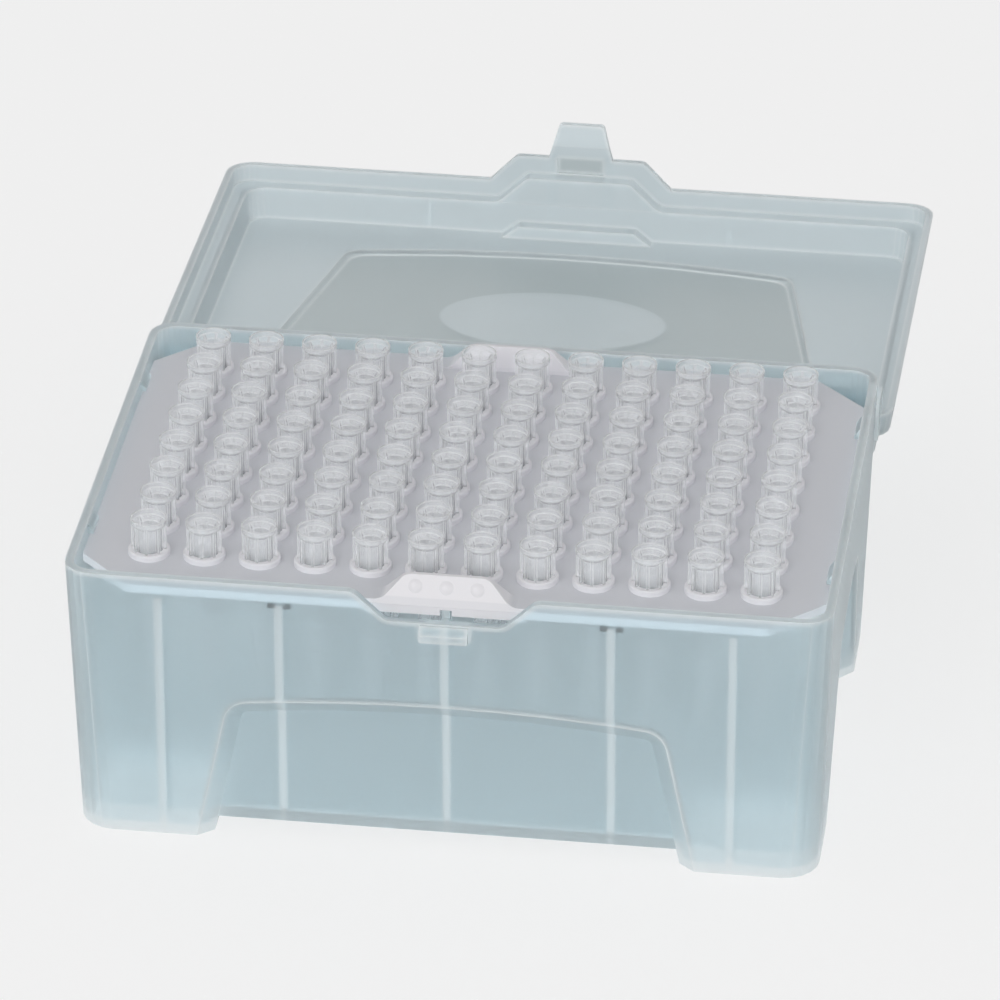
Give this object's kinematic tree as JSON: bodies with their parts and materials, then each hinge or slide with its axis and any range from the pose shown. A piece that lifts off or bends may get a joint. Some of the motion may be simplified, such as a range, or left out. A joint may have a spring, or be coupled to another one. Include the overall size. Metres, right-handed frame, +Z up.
{
  "type": "box of pipette tips",
  "caption": "Hinged translucent plastic box with its lid open, holding a plate of small pipette tips that stand upright on a grid.",
  "frame": {"origin": "on the table, at the bottom centre of the open box's bounding box", "axes": "+Z up, +Y from the box towards the open lid's latch, +X to the right as seen from the front"},
  "size_m": [0.1282, 0.1818, 0.0525],
  "materials": {
    "box_plastic": "translucent natural polypropylene, lightly frosted",
    "lid_plastic": "translucent natural polypropylene, lightly frosted",
    "plate_plastic": "white polypropylene with a faint lilac tint",
    "tip_plastic": "clear natural polypropylene, polished"
  },
  "bodies": {
    "base": {"box": "box_plastic", "tip_plate": "plate_plastic", "tips_column_1_front": "tip_plastic", "tips_column_1_back": "tip_plastic", "tips_column_2_front": "tip_plastic", "tips_column_2_back": "tip_plastic", "tips_column_3_front": "tip_plastic", "tips_column_3_back": "tip_plastic", "tips_column_4_front": "tip_plastic", "tips_column_4_back": "tip_plastic", "tips_column_5_front": "tip_plastic", "tips_column_5_back": "tip_plastic", "tips_column_6_front": "tip_plastic", "tips_column_6_back": "tip_plastic", "tips_column_7_front": "tip_plastic", "tips_column_7_back": "tip_plastic", "tips_column_8_front": "tip_plastic", "tips_column_8_back": "tip_plastic", "tips_column_9_front": "tip_plastic", "tips_column_9_back": "tip_plastic", "tips_column_10_front": "tip_plastic", "tips_column_10_back": "tip_plastic", "tips_column_11_front": "tip_plastic", "tips_column_11_back": "tip_plastic", "tips_column_12_front": "tip_plastic", "tips_column_12_back": "tip_plastic"},
    "lid": {"lid": "lid_plastic"}
  },
  "joints": [
    {"name": "lid_hinge", "type": "hinge", "parent": "base", "child": "lid", "pos_m": [0, -0.00114, 0.0418], "axis": [1, 0, 0], "range_deg": [0, 183.4]}
  ]
}
